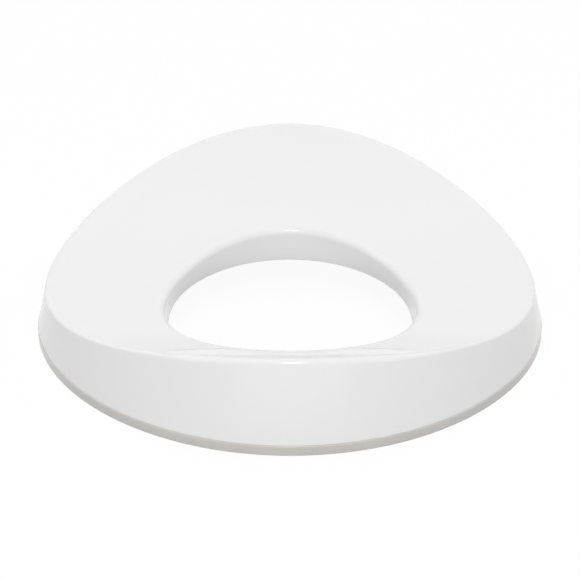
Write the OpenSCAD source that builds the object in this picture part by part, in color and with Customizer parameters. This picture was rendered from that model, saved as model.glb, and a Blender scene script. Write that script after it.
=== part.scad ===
// Potty training seat: a moulded shell with a large hole, on a soft grip rim.
// The seat stands on z = 0 with its front towards -Y. Sizes are in millimetres.
// Each section of the shell is drawn in a vertical plane that runs from a point of
// the foot to a point of the hole, and the sections are joined round the seat.

/* [Foot] */
// Width of the foot at its widest
seat_w = 295; // [260:1:330]
// Length of the foot from front to back
seat_l = 335; // [310:1:380]
// How far behind the middle of its length the foot is widest
widest_back = 14; // [0:1:30]

/* [Rim heights] */
// Height of the rim at the front
front_h = 48.5; // [42:0.5:60]
// Height of the rim at its lowest, beside the thighs
side_h = 26.5; // [24:0.5:34]
// Height of the rim at the back
back_h = 78; // [60:0.5:95]
// How far the lowest rim lies ahead of the foot's widest place
low_ahead = 20; // [0:1:40]

/* [Hole] */
// Width of the hole
hole_w = 138; // [120:1:150]
// Length of the hole
hole_l = 191; // [170:1:200]
// How far the middle of the hole lies ahead of the middle of the foot
hole_ahead = 31; // [20:1:36]
// Height of the hole's edge at the front
hole_front_h = 43.5; // [38:0.5:50]
// Height of the hole's edge at its lowest, at the sides
hole_side_h = 28.5; // [26:0.5:34]
// Height of the hole's edge at the back
hole_back_h = 37; // [32:0.5:48]
// How far the lowest edge lies behind the middle of the hole
hole_low_back = 21; // [0:1:40]
// Height of the lower edge of the skirt that lines the hole
skirt_z = 17.5; // [10:0.5:20]

/* [Shell] */
// Wall thickness of the moulding
wall = 3; // [2.4:0.1:3.6]
// Lean of the outer wall, in degrees
wall_draft = 12.5; // [8:0.5:16]
// Lean of the skirt, in degrees
skirt_draft = 7.5; // [1:0.5:10]
// Radius of the outer rim
rim_r = 3.2; // [2.4:0.1:5]
// Radius of the hole's edge
hole_r = 4.5; // [3:0.5:6]
// Depth of the dish between rim and hole at the back
back_dish = 4; // [0:0.5:6]
// Depth of the dish at the sides
side_dish = 0.8; // [0:0.1:1.5]

/* [Front lip] */
// How far the lip's straight inner edge lies ahead of the hole
lip_gap = 4.5; // [4:0.5:8]
// How far that edge stands above the top behind it
lip_rise = 0.8; // [0.3:0.1:1.5]
// Length over which the edge falls away to the top behind it
lip_foot = 8; // [4:1:12]
// Depth of the shallow groove between the rim and that edge
lip_groove = 0.4; // [0:0.1:0.8]
// Where the groove's middle lies across the lip, 0 at the rim and 1 at the inner edge
groove_at = 0.45; // [0.4:0.05:0.55]
// Half the groove's width, on the same scale
groove_half = 0.35; // [0.2:0.05:0.4]
// The lip has its full height where it is at least this wide
lip_full_w = 10; // [6:1:16]
// Distance from the hole within which the inner edge dies away
lip_merge = 6; // [4:1:8]

/* [Grip rim] */
// Height of the soft rim
grip_h = 5.5; // [4.5:0.1:8]
// Thickness of the rim under the shell's edge
grip_base = 2; // [1.5:0.1:3]
// Thickness of the lip outside the shell's edge
grip_lip = 1.5; // [1.2:0.1:2]
// Thickness of the lip inside the shell
grip_inner_lip = 1.3; // [1:0.1:2]
// How far the soft rim stands out past the shell
grip_proud = 0.4; // [0:0.1:0.8]
// Play between the shell's edge and the lips
grip_play = 0.1; // [0.05:0.05:0.2]

/* [Hidden] */

// Sections round the seat, an even number so that both halves match
sections = 96;
// Steps of the outer skin: round the rim, [over the lip, its foot, the dish], round the hole
rim_steps = 6;
top_steps = [6, 3, 7];
hole_steps = 6;
// Steps of the hidden skin underneath
under_rim_steps = 2;
under_top_steps = [4, 2, 4];
under_hole_steps = 3;
// Steps of the skirt's rounded lower edge
edge_steps = 3;
// The points of the lip and of its foot lie within these shares of the way to the hole
lip_share = 0.7;
lip_foot_share = 0.8;
// Least radius of the hidden skin's corners
least_r = 0.2;
// Degrees that the hole's points are turned, so that sections cross the seat squarely
hole_turn = 20;

// The shell's edge is a tongue that stands in the soft rim's groove
tongue_in = grip_lip + grip_play;
tongue_end = grip_proud + wall;
groove_in = tongue_in - grip_play;
groove_end = tongue_end + grip_play;
grip_end = groove_end + grip_inner_lip;
// The shell's ledge clears the outer lip by the same play
ledge_z = grip_h + grip_play;
// Place of the lip's inner edge, a straight line across the seat
lip_y = -hole_ahead - hole_l / 2 - lip_gap;

// Plan of the foot and of the hole, by an angle that runs from the front (-90) round
function foot(t) = [seat_w / 2 * cos(t), seat_l / 2 * sin(t) + widest_back * cos(t) ^ 2];
function hole_angle(t) = t + hole_turn * cos(t);
function hole(t) = let (u = hole_angle(t)) [hole_w / 2 * cos(u), hole_l / 2 * sin(u) - hole_ahead];
function span(t) = norm(hole(t) - foot(t));
function heading(t) = (hole(t) - foot(t)) / span(t);
// The point at a distance in from the foot, on the way to the hole
function inward(t, s) = foot(t) + heading(t) * s;

// A height that is lowest at k0 and rises as a parabola to both ends, -1 and 1
function saddle(k, k0, low, front, back) =
    k < k0 ? low + (front - low) * ((k0 - k) / (1 + k0)) ^ 2
           : low + (back - low) * ((k - k0) / (1 - k0)) ^ 2;
function rim_h(t) = saddle(sin(t), -low_ahead / (seat_l / 2), side_h, front_h, back_h);
function hole_h(t) =
    saddle(sin(hole_angle(t)), hole_low_back / (hole_l / 2), hole_side_h, hole_front_h, hole_back_h);
function dish(t) = side_dish * cos(t) ^ 2 + back_dish * max(sin(t), 0) ^ 2;

// Centres of the two round edges in a section, as [distance in, height]
function rim_centre(t) = let (z = rim_h(t) - rim_r)
    [grip_proud + (z - ledge_z) * tan(wall_draft) + rim_r / cos(wall_draft), z];
function hole_centre(t) = let (z = hole_h(t) - hole_r)
    [span(t) - (z - skirt_z) * tan(skirt_draft) - hole_r / cos(skirt_draft), z];

function mix(a, b, k) = a + (b - a) * k;
// An even ease from 0 to 1
function ease(k) = let (x = min(max(k, 0), 1)) x * x * (3 - 2 * x);

// A height at a share x of a run, which leaves z1 and arrives at z2 at given slopes
function curve(x, run, z1, z2, m1, m2) =
    (2 * x ^ 3 - 3 * x ^ 2 + 1) * z1 + (x ^ 3 - 2 * x ^ 2 + x) * run * m1
    + (3 * x ^ 2 - 2 * x ^ 3) * z2 + (x ^ 3 - x ^ 2) * run * m2;

// Width of the lip in a section whose top begins at a distance in from the foot
function lip_width(t, start, run) =
    foot(t)[1] >= lip_y ? 0 : min(max((lip_y - foot(t)[1]) / heading(t)[1] - start, 0), run);

// Height of the lip over the plain top, at a distance d from the rim
function lip_height(d, width, run) =
    width == 0 ? 0 :
    let (full = ease(width / lip_full_w), across = d / width)
    let (rise = lip_rise * full * ease((run - width) / lip_merge))
    d > width ? rise * (1 - ease((d - width) / min(lip_foot, run - width))) :
    let (off = (across - groove_at) / groove_half)
    rise * ease((across - groove_at) / (1 - groove_at))
        - (abs(off) < 1 ? lip_groove * full * (1 + cos(180 * off)) / 2 : 0);

// Shares of the run at which the top has its points, closer together on the lip
function top_shares(width, run, n) =
    let (sum = n[0] + n[1] + n[2], full = ease(width / lip_full_w))
    let (lip_end = mix(n[0] / sum, min(width / run, lip_share), full))
    let (foot_end = mix((n[0] + n[1]) / sum, min((width + lip_foot) / run, lip_foot_share), full))
    concat([for (i = [1 : n[0] - 1]) lip_end * i / n[0]],
        [for (i = [0 : n[1] - 1]) mix(lip_end, foot_end, i / n[1])],
        [for (i = [0 : n[2] - 1]) mix(foot_end, 1, i / n[2])]);

function arc(centre, r, from, to, steps) =
    [for (i = [0 : steps]) let (a = mix(from, to, i / steps)) centre + r * [cos(a), sin(a)]];

// The skin of one section, from the outer wall over the rim, the lip and the dish to the
// skirt, moved in by a depth: 0 is the outer face and wall is the hidden one
function skin(t, depth, n_rim, n_top, n_hole) =
    let (c1 = rim_centre(t), c2 = hole_centre(t))
    let (chord = (c1[1] + rim_r - c2[1] - hole_r) / (c2[0] - c1[0]))
    let (lift = 4 * dish(t) / (c2[0] - c1[0]))
    let (fall1 = atan(chord + lift), fall2 = atan(chord - lift))
    let (p1 = c1 + rim_r * [sin(fall1), cos(fall1)], p2 = c2 + hole_r * [sin(fall2), cos(fall2)])
    let (run = p2[0] - p1[0], width = lip_width(t, p1[0], run), small = 0.001)
    let (z = function(x) curve(x, run, p1[1], p2[1], -tan(fall1), -tan(fall2))
        + lip_height(run * x, width, run))
    concat(
        arc(c1, max(rim_r - depth, least_r), 180 - wall_draft, 90 - fall1, n_rim),
        [for (x = top_shares(width, run, n_top))
            let (slope = (z(x + small) - z(x - small)) / (2 * small * run))
            [p1[0] + run * x, z(x)] - depth * [-slope, 1] / norm([slope, 1])],
        arc(c2, max(hole_r - depth, least_r), 90 - fall2, skirt_draft, n_hole));

function reversed(list) = [for (i = [len(list) - 1 : -1 : 0]) list[i]];

// The closed outline of one section, as [distance in, height]
function section(t) = concat(
    [[tongue_in, grip_base], [tongue_in, ledge_z], [grip_proud, ledge_z]],
    skin(t, 0, rim_steps, top_steps, hole_steps),
    arc([span(t) - wall / 2, skirt_z + wall / 2], wall / 2, 0, -180, edge_steps),
    reversed(skin(t, wall, under_rim_steps, under_top_steps, under_hole_steps)),
    [[tongue_end, ledge_z], [tongue_end, grip_base]]);

// The sections joined into one closed ring, with the same diagonals on both sides
module ring_of_sections() {
    turns = [for (i = [0 : sections - 1]) -90 + 360 * i / sections];
    loops = [for (t = turns) [for (p = section(t)) let (q = inward(t, p[0])) [q[0], q[1], p[1]]]];
    n = len(loops[0]);
    faces = [for (i = [0 : sections - 1], j = [0 : n - 1])
        let (a = i * n + j, b = i * n + (j + 1) % n)
        let (c = (i + 1) % sections * n + (j + 1) % n, d = (i + 1) % sections * n + j)
        each i < sections / 2 ? [[a, b, c], [a, c, d]] : [[a, b, d], [b, c, d]]];
    polyhedron([for (loop = loops) each loop], faces, convexity = 6);
}

// A flat band between two distances in from the foot
module band(from, to) {
    difference() {
        polygon([for (i = [0 : sections - 1]) inward(-90 + 360 * i / sections, from)]);
        polygon([for (i = [0 : sections - 1]) inward(-90 + 360 * i / sections, to)]);
    }
}

module seat_shell() {
    color([0.95, 0.95, 0.94]) ring_of_sections();
}

module grip_rim() {
    color([0.74, 0.72, 0.7]) difference() {
        linear_extrude(height = grip_h) band(0, grip_end);
        translate([0, 0, grip_base]) linear_extrude(height = grip_h) band(groove_in, groove_end);
    }
}

seat_shell();
grip_rim();
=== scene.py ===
# Potty training seat: a white gloss shell on a soft grey grip rim, on a white studio floor
from math import atan, atan2, cos, hypot, pi, radians, sin, tan

import bmesh
import bpy
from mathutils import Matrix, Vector


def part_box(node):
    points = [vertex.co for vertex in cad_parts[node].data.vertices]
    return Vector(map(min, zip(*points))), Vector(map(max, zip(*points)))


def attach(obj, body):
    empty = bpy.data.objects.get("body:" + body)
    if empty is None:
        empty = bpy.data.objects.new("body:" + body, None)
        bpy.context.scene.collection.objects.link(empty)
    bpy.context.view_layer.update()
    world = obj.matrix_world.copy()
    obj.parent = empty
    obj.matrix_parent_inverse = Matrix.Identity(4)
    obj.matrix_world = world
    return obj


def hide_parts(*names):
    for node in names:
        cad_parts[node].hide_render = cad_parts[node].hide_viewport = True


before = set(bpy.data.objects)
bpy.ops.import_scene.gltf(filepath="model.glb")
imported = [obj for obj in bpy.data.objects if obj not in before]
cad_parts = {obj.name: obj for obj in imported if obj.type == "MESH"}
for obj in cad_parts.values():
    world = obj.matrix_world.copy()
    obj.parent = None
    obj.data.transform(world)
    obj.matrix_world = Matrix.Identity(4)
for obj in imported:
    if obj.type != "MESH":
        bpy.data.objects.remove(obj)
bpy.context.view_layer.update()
print("frame loaded:", ", ".join(sorted(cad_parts)))


def addObject(name, data):
    made = bpy.data.objects.new(name, data)
    bpy.context.collection.objects.link(made)
    return made


def addMesh(name, bm):
    mesh = bpy.data.meshes.new(name)
    bm.to_mesh(mesh)
    bm.free()
    return addObject(name, mesh)


def facing(direction):  # the turn that makes a camera or a lamp look in a direction
    return direction.to_track_quat("-Z", "Y").to_euler()


# camera first, at the photograph's angle: from the front, a little above
photo = {
    "azimuth": -0.35,        # degrees round from straight ahead, towards +X
    "elevation": 22.0,       # degrees above the horizon
    "distance": 1.2,         # from the point that it looks at
    "aimHeight": 0.02365,    # of that point, over the middle of the foot
    "focalPixels": 2066.0,   # focal length in pixels of the square photograph
    "imagePixels": 580.0,
    "sensorWidth": 36.0,     # in millimetres
    "nearest": 0.05, "farthest": 20.0,   # what it sees, in metres
}


def makeCamera(p):
    data = bpy.data.cameras.new("photoCamera")
    data.sensor_width = p["sensorWidth"]
    data.lens = p["focalPixels"] * p["sensorWidth"] / p["imagePixels"]
    data.clip_start, data.clip_end = p["nearest"], p["farthest"]
    camera = addObject("photoCamera", data)
    up, side = radians(p["elevation"]), radians(p["azimuth"])
    away = Vector((cos(up) * sin(side), -cos(up) * cos(side), sin(up)))
    camera.location = Vector((0.0, 0.0, p["aimHeight"])) + away * p["distance"]
    camera.rotation_euler = facing(-away)
    bpy.context.scene.camera = camera


makeCamera(photo)
print("camera ready")

# the plan that both pieces follow, in metres: a foot and a hole, by one angle t that
# runs from the front (-90 degrees) round the seat
gripLow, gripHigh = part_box("grip_rim")
plan = {
    "footHalfWidth": gripHigh.x,
    "footHalfLength": (gripHigh.y - gripLow.y) / 2,
    "widestBack": 0.014,        # how far behind the middle of its length the foot is widest
    "holeHalfWidth": 0.069,
    "holeHalfLength": 0.0955,
    "holeAhead": 0.031,         # how far the hole's middle lies ahead of the foot's
    "holeTurn": radians(20.0),  # turns the hole's points so that sections cross squarely
    "turns": 288,               # sections round the seat
    "rowStep": 0.01,            # height from row to row while a ring is spun
    "sharpAngle": radians(40.0),  # an edge that turns this much or more stays sharp
}


def footPoint(t):
    return Vector((plan["footHalfWidth"] * cos(t),
                   plan["footHalfLength"] * sin(t) + plan["widestBack"] * cos(t) ** 2))


def holeAngle(t):
    return t + plan["holeTurn"] * cos(t)


def holePoint(t):
    u = holeAngle(t)
    return Vector((plan["holeHalfWidth"] * cos(u),
                   plan["holeHalfLength"] * sin(u) - plan["holeAhead"]))


def span(t):
    return (holePoint(t) - footPoint(t)).length


def inward(t):
    return (holePoint(t) - footPoint(t)).normalized()


def arcPoints(centre, radius, start, end, steps):
    angles = [start + (end - start) * i / steps for i in range(steps + 1)]
    return [(centre[0] + radius * cos(a), centre[1] + radius * sin(a)) for a in angles]


def smoothStep(low, high, x):
    x = min(max((x - low) / (high - low), 0.0), 1.0)
    return x * x * (3 - 2 * x)


def ringPiece(name, outlineAt):
    # a column of points is spun into a ring, and each point then goes to its place in
    # the section at its own angle; its row in the outline is kept as its height
    turns, rowStep = plan["turns"], plan["rowStep"]
    angles = [-pi / 2 + 2 * pi * i / turns for i in range(turns)]
    outlines = [outlineAt(t) for t in angles]
    places = [(footPoint(t), inward(t)) for t in angles]
    bm = bmesh.new()
    column = [bm.verts.new((0.0, -1.0, rowStep * j)) for j in range(len(outlines[0]))]
    links = [bm.edges.new(pair) for pair in zip(column, column[1:] + column[:1])]
    bmesh.ops.spin(bm, geom=column + links, cent=(0, 0, 0), axis=(0, 0, 1),
                   angle=2 * pi, steps=turns, use_merge=True)
    for v in bm.verts:
        i = round((atan2(v.co.y, v.co.x) + pi / 2) / (2 * pi) * turns) % turns
        depth, height = outlines[i][round(v.co.z / rowStep)]
        foot, direction = places[i]
        spot = foot + direction * depth
        v.co = (spot.x, spot.y, height)
    bmesh.ops.recalc_face_normals(bm, faces=bm.faces)
    for face in bm.faces:
        face.smooth = True
    for edge in bm.edges:
        edge.smooth = edge.calc_face_angle(0.0) < plan["sharpAngle"]
    piece = addMesh(name, bm)
    print(name, "has", len(piece.data.polygons), "faces")
    return piece


# shell: one moulding, high at the back, low at the sides, with a lip in front
shell = {
    "frontHeight": 0.0485, "sideHeight": 0.0265, "backHeight": 0.078,  # top of the rim
    "lowAhead": 0.020,          # where the rim is lowest, ahead of the foot's widest place
    "holeFront": 0.0435, "holeSide": 0.0285, "holeBack": 0.037,  # top of the hole's edge
    "holeLowBack": 0.021,       # where that edge is lowest, behind the hole's middle
    "skirtHeight": 0.0175,      # of the skirt's lower edge
    "wall": 0.003, "wallDraft": radians(12.5), "skirtDraft": radians(7.5),
    "rimRadius": 0.0032, "sideRimRadius": 0.0018,  # the rim is tighter towards the front sides
    "widenFront": (0.8, 0.97),  # sines of the way to the front between which it grows to its full radius
    "widenBack": (-0.2, 0.4),   # and of the way to the back
    "holeRadius": 0.0045, "leastRadius": 0.0002,   # of the hole's edge, and the least inside the wall
    "backDish": 0.004, "sideDish": 0.0008,  # how far the top hangs below a straight line
    "skirtEdge": 0.0006,        # radius of the corners of the skirt's lower edge
    "rimSteps": 12, "lipSteps": 20, "footSteps": 8, "dishSteps": 18, "holeSteps": 12, "edgeSteps": 5,
    "slopeStep": 0.001,         # share of the top to each side over which its slope is measured
}
lip = {
    "lineAhead": 0.131,     # its inner edge is a straight line this far ahead of the seat's middle
    "rise": 0.0008,         # how far that edge stands above the dished top
    "foot": 0.008,          # length over which it falls away behind
    "groove": 0.0004,       # depth of the shallow groove between the rim and that edge
    "grooveAt": 0.45, "grooveHalf": 0.35,  # its middle and half width, as shares of the lip's width
    "fullWidth": 0.010,     # the lip has its full height from this width on
    "mergeWidth": 0.006,    # it merges with the hole's edge when this close to it
    "lipShare": 0.75, "footShare": 0.85,   # how far across the top its points may lie
}
grip = {
    "height": 0.0055, "base": 0.002,    # the whole rim, and its floor under the shell
    "lip": 0.0015, "innerLip": 0.0013,  # thickness of its outer and its inner lip
    "proud": 0.0004,                    # how far it stands out from the shell's wall
    "play": 0.0001,                     # gap between it and the shell, except where the shell rests
    "outerRound": 0.0009, "innerRound": 0.0004, "roundSteps": 6,
}
ledge = grip["height"] + grip["play"]   # height of the step in the shell's outer face, over the rim


def saddle(k, k0, low, front, back):  # lowest at k0, a parabola up to both ends
    if k < k0:
        return low + (front - low) * ((k0 - k) / (1 + k0)) ** 2
    return low + (back - low) * ((k - k0) / (1 - k0)) ** 2


def rimRadiusAt(t, depth):  # full in front and behind, and inside never less than a small round
    s = shell
    full = max(smoothStep(*s["widenFront"], -sin(t)), smoothStep(*s["widenBack"], sin(t)))
    outer = s["sideRimRadius"] + (s["rimRadius"] - s["sideRimRadius"]) * full
    return max(outer, depth + s["leastRadius"])


def rimCentre(t, radius):
    s = shell
    height = saddle(sin(t), -s["lowAhead"] / plan["footHalfLength"],
                    s["sideHeight"], s["frontHeight"], s["backHeight"]) - radius
    lean = s["wallDraft"]
    return grip["proud"] + (height - ledge) * tan(lean) + radius / cos(lean), height


def holeCentre(t):
    s = shell
    height = saddle(sin(holeAngle(t)), s["holeLowBack"] / plan["holeHalfLength"],
                    s["holeSide"], s["holeFront"], s["holeBack"]) - s["holeRadius"]
    lean = s["skirtDraft"]
    return span(t) - (height - s["skirtHeight"]) * tan(lean) - s["holeRadius"] / cos(lean), height


def lipWidth(t, start, run):  # from the rim to the lip's inner edge, along the section
    foot = footPoint(t)
    if foot.y >= -lip["lineAhead"]:
        return 0.0
    return min(max((-lip["lineAhead"] - foot.y) / inward(t).y - start, 0.0), run)


def lipHeight(x, width, run):  # above the dished top, at a distance from the rim
    if width == 0:
        return 0.0
    full = smoothStep(0, lip["fullWidth"], width)
    rise = lip["rise"] * full * smoothStep(0, lip["mergeWidth"], run - width)
    if x > width:
        return rise * (1 - smoothStep(0, min(lip["foot"], run - width), x - width)) if rise else 0.0
    off = (x / width - lip["grooveAt"]) / lip["grooveHalf"]
    groove = lip["groove"] * full * (1 + cos(pi * off)) / 2 if abs(off) < 1 else 0.0
    return rise * smoothStep(lip["grooveAt"], 1, x / width) - groove


def topShares(width, run):  # where the points of the top lie, closer together on the lip
    lipSteps, footSteps, dishSteps = shell["lipSteps"], shell["footSteps"], shell["dishSteps"]
    steps = lipSteps + footSteps + dishSteps
    evenLip, evenFoot = lipSteps / steps, (lipSteps + footSteps) / steps
    full = smoothStep(0, lip["fullWidth"], width)
    lipEnd = evenLip + (min(width / run, lip["lipShare"]) - evenLip) * full
    footEnd = evenFoot + (min((width + lip["foot"]) / run, lip["footShare"]) - evenFoot) * full
    return ([lipEnd * i / lipSteps for i in range(1, lipSteps)]
            + [lipEnd + (footEnd - lipEnd) * i / footSteps for i in range(footSteps)]
            + [footEnd + (1 - footEnd) * i / dishSteps for i in range(dishSteps)])


def slopingPoint(centre, radius, fall):  # where a round edge slopes down by an angle
    return centre[0] + radius * sin(fall), centre[1] + radius * cos(fall)


def skin(t, depth):
    # from the outer wall over the rim, the lip and the dish to the skirt, moved in by a depth
    s = shell
    rim, hole = rimRadiusAt(t, depth), max(s["holeRadius"] - depth, s["leastRadius"])
    rimAt, holeAt = rimCentre(t, rim), holeCentre(t)
    gap = holeAt[0] - rimAt[0]
    chord = (rimAt[1] + rim - holeAt[1] - s["holeRadius"]) / gap
    dish = s["sideDish"] * cos(t) ** 2 + s["backDish"] * max(sin(t), 0) ** 2
    lift = 4 * dish / gap   # slope at the ends of a parabola with this dish
    rimFall, holeFall = atan(chord + lift), atan(chord - lift)
    rimX, rimZ = slopingPoint(rimAt, rim, rimFall)
    holeX, holeZ = slopingPoint(holeAt, s["holeRadius"], holeFall)
    run, rimSlope, holeSlope = holeX - rimX, -tan(rimFall), -tan(holeFall)
    width = lipWidth(t, rimX, run)

    def height(x):  # a cubic that leaves both round edges in their own direction, with the lip on it
        return ((2 * x ** 3 - 3 * x ** 2 + 1) * rimZ + (x ** 3 - 2 * x ** 2 + x) * run * rimSlope
                + (3 * x ** 2 - 2 * x ** 3) * holeZ + (x ** 3 - x ** 2) * run * holeSlope
                + lipHeight(run * x, width, run))

    top, step = [], s["slopeStep"]
    for x in topShares(width, run):
        slope = (height(x + step) - height(x - step)) / (2 * step * run)
        tilt = hypot(slope, 1)
        top.append((rimX + run * x + depth * slope / tilt, height(x) - depth / tilt))
    return (arcPoints(rimAt, rim - depth, pi - s["wallDraft"], pi / 2 - rimFall, s["rimSteps"])
            + top
            + arcPoints(holeAt, hole, pi / 2 - holeFall, s["skirtDraft"], s["holeSteps"]))


def shellOutline(t):  # the tongue in the grip rim, the outer skin, the skirt's edge, the inner skin
    wall, edge, n = shell["wall"], shell["skirtEdge"], shell["edgeSteps"]
    tongueIn = grip["lip"] + grip["play"]
    tongueEnd = grip["proud"] + wall
    low = shell["skirtHeight"] + edge
    return ([(tongueIn, grip["base"]), (tongueIn, ledge), (grip["proud"], ledge)]
            + skin(t, 0.0)
            + arcPoints((span(t) - edge, low), edge, 0.0, -pi / 2, n)
            + arcPoints((span(t) - wall + edge, low), edge, -pi / 2, -pi, n)
            + skin(t, wall)[::-1]
            + [(tongueEnd, ledge), (tongueEnd, grip["base"])])


seatShell = ringPiece("seatShell", shellOutline)


def gripOutline(t):  # a channel: outer lip, floor, inner lip, the same all round
    g = grip
    grooveIn = g["lip"]
    grooveEnd = g["proud"] + shell["wall"] + g["play"]
    end = grooveEnd + g["innerLip"]
    big, small, n = g["outerRound"], g["innerRound"], g["roundSteps"]
    return (arcPoints((small, small), small, -pi / 2, -pi, n)
            + arcPoints((big, g["height"] - big), big, -pi, -3 * pi / 2, n)
            + arcPoints((grooveIn - small, g["height"] - small), small, pi / 2, 0, n)
            + [(grooveIn, g["base"]), (grooveEnd, g["base"])]
            + arcPoints((grooveEnd + small, g["height"] - small), small, pi, pi / 2, n)
            + arcPoints((end - small, g["height"] - small), small, pi / 2, 0, n)
            + arcPoints((end - small, small), small, 0, -pi / 2, n))


gripRim = ringPiece("gripRim", gripOutline)

for piece, node, slot in ((seatShell, "seat_shell", "white_shell"), (gripRim, "grip_rim", "grey_grip")):
    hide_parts(node)
    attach(piece, "root")
print("pieces in place")

# sockets that are taken by their number
objectPlace = 3                             # of Texture Coordinate
cameraRay, glossyRay, clearRay = 0, 3, 6    # of Light Path
colourA, colourB, colourOut = 6, 7, 2       # of Mix


class Wire:  # a socket's value, with the usual sums
    def __init__(self, recipe, socket):
        self.recipe, self.socket = recipe, socket

    def maths(self, kind, a, b):
        return self.recipe.node("ShaderNodeMath", {"operation": kind}, {0: a, 1: b})[0]

    def __add__(self, other):
        return self.maths("ADD", self, other)

    def __radd__(self, other):
        return self.maths("ADD", other, self)

    def __sub__(self, other):
        return self.maths("SUBTRACT", self, other)

    def __rsub__(self, other):
        return self.maths("SUBTRACT", other, self)

    def __mul__(self, other):
        return self.maths("MULTIPLY", self, other)

    def __rmul__(self, other):
        return self.maths("MULTIPLY", other, self)


class Recipe:  # the nodes of a material or of the world
    def __init__(self, owner):
        owner.use_nodes = True
        self.owner = owner
        self.nodes, self.links = owner.node_tree.nodes, owner.node_tree.links
        self.nodes.clear()

    def node(self, kind, settings={}, values={}):
        made = self.nodes.new(kind)
        for key, value in settings.items():
            setattr(made, key, value)
        for key, value in values.items():
            if isinstance(value, Wire):
                self.links.new(value.socket, made.inputs[key])
            else:
                made.inputs[key].default_value = value
        return [Wire(self, socket) for socket in made.outputs]

    def noise(self, scale, detail):  # on Object coordinates, so that it stays with the piece
        place = self.node("ShaderNodeTexCoord")[objectPlace]
        return self.node("ShaderNodeTexNoise", {}, {"Vector": place, "Scale": scale, "Detail": detail})[0]

    def bump(self, wave, height, strength):
        values = {"Strength": strength, "Distance": height, "Height": wave}
        return self.node("ShaderNodeBump", {}, values)[0]

    def finish(self, surface, output="ShaderNodeOutputMaterial"):
        self.node(output, {}, {"Surface": surface})
        return self.owner


gloss = {   # patches change the gloss a little, and a ripple makes the moulding faintly uneven
    "colour": (0.88, 0.88, 0.88, 1.0), "refraction": 1.49,
    "roughness": 0.12, "roughnessSpread": 0.04, "patchScale": 22.0, "patchDetail": 3.0,
    "rippleScale": 260.0, "rippleDetail": 2.0, "rippleHeight": 0.00002, "rippleStrength": 0.25,
}


def glossPlastic(g):
    r = Recipe(bpy.data.materials.new("glossWhitePlastic"))
    patches = r.noise(g["patchScale"], g["patchDetail"])
    ripple = r.noise(g["rippleScale"], g["rippleDetail"])
    surface = r.node("ShaderNodeBsdfPrincipled", {}, {
        "Base Color": g["colour"],
        "Roughness": g["roughness"] + (patches - 0.5) * g["roughnessSpread"],
        "Normal": r.bump(ripple, g["rippleHeight"], g["rippleStrength"]),
        "IOR": g["refraction"],
    })[0]
    return r.finish(surface)


soft = {    # patches change the colour a little, and a grain roughens it
    "colour": (0.685, 0.662, 0.63, 1.0), "darker": (0.615, 0.594, 0.565, 1.0), "refraction": 1.45,
    "roughness": 0.22, "roughnessSpread": 0.08, "patchScale": 30.0, "patchDetail": 2.0,
    "grainScale": 900.0, "grainDetail": 3.0, "grainHeight": 0.00006, "grainStrength": 0.5,
}


def softGrip(g):
    r = Recipe(bpy.data.materials.new("softGreyGrip"))
    grain = r.noise(g["grainScale"], g["grainDetail"])
    patches = r.noise(g["patchScale"], g["patchDetail"])
    colour = r.node("ShaderNodeMix", {"data_type": "RGBA"},
                    {0: patches, colourA: g["darker"], colourB: g["colour"]})[colourOut]
    surface = r.node("ShaderNodeBsdfPrincipled", {}, {
        "Base Color": colour,
        "Roughness": g["roughness"] + (grain - 0.5) * g["roughnessSpread"],
        "Normal": r.bump(grain, g["grainHeight"], g["grainStrength"]),
        "IOR": g["refraction"],
    })[0]
    return r.finish(surface)


seatShell.data.materials.append(glossPlastic(gloss))
gripRim.data.materials.append(softGrip(soft))
print("materials ready")

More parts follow.
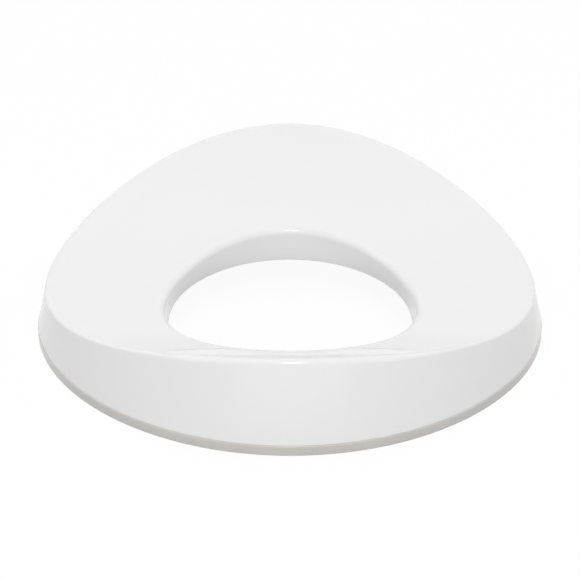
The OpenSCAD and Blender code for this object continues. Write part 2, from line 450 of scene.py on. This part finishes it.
# studio: white floor and background, soft boxes in front, above, behind and at the sides
studio = {
    "white": (1.0, 1.0, 1.0, 1.0),
    "floorHalf": 6.0, "floorColour": (0.45, 0.45, 0.45, 1.0),
    "floorWhite": 0.86,     # how much of the floor's look is its own white; the rest keeps the shadow
    "floorGlow": 1.09, "backgroundGlow": 1.0,   # how bright their white is
    "worldLight": 0.0,      # what the background adds to the lamps
}
lamps = {   # all aimed at the seat; shine: whether the lamp itself shows in glossy surfaces
    "front": {"at": (0.0, -3.3, 2.2), "size": (4.2, 3.4), "watts": 99.0, "shine": False},
    "frontLow": {"at": (0.0, -3.6, 0.55), "size": (4.4, 1.0), "watts": 8.0, "shine": True},
    "frontBox": {"at": (0.0, -1.9, 3.3), "size": (0.7, 0.3), "watts": 34.0, "shine": True},
    "topBack": {"at": (0.0, 2.0, 3.46), "size": (3.6, 2.6), "watts": 41.0, "shine": False},
    "leftBack": {"at": (-2.9, 2.2, 1.7), "size": (3.6, 3.0), "watts": 47.0, "shine": False},
    "rightBack": {"at": (2.9, 2.2, 1.7), "size": (3.6, 3.0), "watts": 47.0, "shine": False},
    "left": {"at": (-3.6, 0.0, 1.7), "size": (3.4, 3.0), "watts": 20.0, "shine": False},
    "right": {"at": (3.6, 0.0, 1.7), "size": (3.4, 3.0), "watts": 20.0, "shine": False},
}


def seenAsWhite(r):  # 1 for what the camera, a gloss or clear plastic sees, 0 for light on the seat
    path = r.node("ShaderNodeLightPath")
    seen = path[cameraRay]
    for ray in (glossyRay, clearRay):
        seen = r.node("ShaderNodeMath", {"operation": "MAXIMUM"}, {0: seen, 1: path[ray]})[0]
    return seen


def makeFloor(s):
    bm = bmesh.new()
    bmesh.ops.create_grid(bm, x_segments=1, y_segments=1, size=s["floorHalf"])
    floor = addMesh("studioFloor", bm)
    r = Recipe(bpy.data.materials.new("studioFloor"))
    lit = r.node("ShaderNodeBsdfDiffuse", {}, {"Color": s["floorColour"]})[0]
    white = r.node("ShaderNodeEmission", {}, {"Color": s["white"], "Strength": s["floorGlow"]})[0]
    surface = r.node("ShaderNodeMixShader", {}, {0: seenAsWhite(r) * s["floorWhite"], 1: lit, 2: white})[0]
    floor.data.materials.append(r.finish(surface))


def makeWorld(s):
    world = bpy.data.worlds.new("studioWorld")
    bpy.context.scene.world = world
    r = Recipe(world)
    light = r.node("ShaderNodeBackground", {}, {"Color": s["white"], "Strength": s["worldLight"]})[0]
    white = r.node("ShaderNodeBackground", {}, {"Color": s["white"], "Strength": s["backgroundGlow"]})[0]
    surface = r.node("ShaderNodeMixShader", {}, {0: seenAsWhite(r), 1: light, 2: white})[0]
    r.finish(surface, "ShaderNodeOutputWorld")


def makeLamp(name, box):
    data = bpy.data.lights.new(name + "Light", "AREA")
    data.shape = "RECTANGLE"
    data.size, data.size_y = box["size"]
    data.energy = box["watts"]
    lamp = addObject(name + "Light", data)
    lamp.location = box["at"]
    lamp.rotation_euler = facing(-Vector(box["at"]))
    lamp.visible_glossy = box["shine"]


makeFloor(studio)
makeWorld(studio)
for name, box in lamps.items():
    makeLamp(name, box)
bpy.context.scene.view_settings.view_transform = "Standard"
print("studio ready")
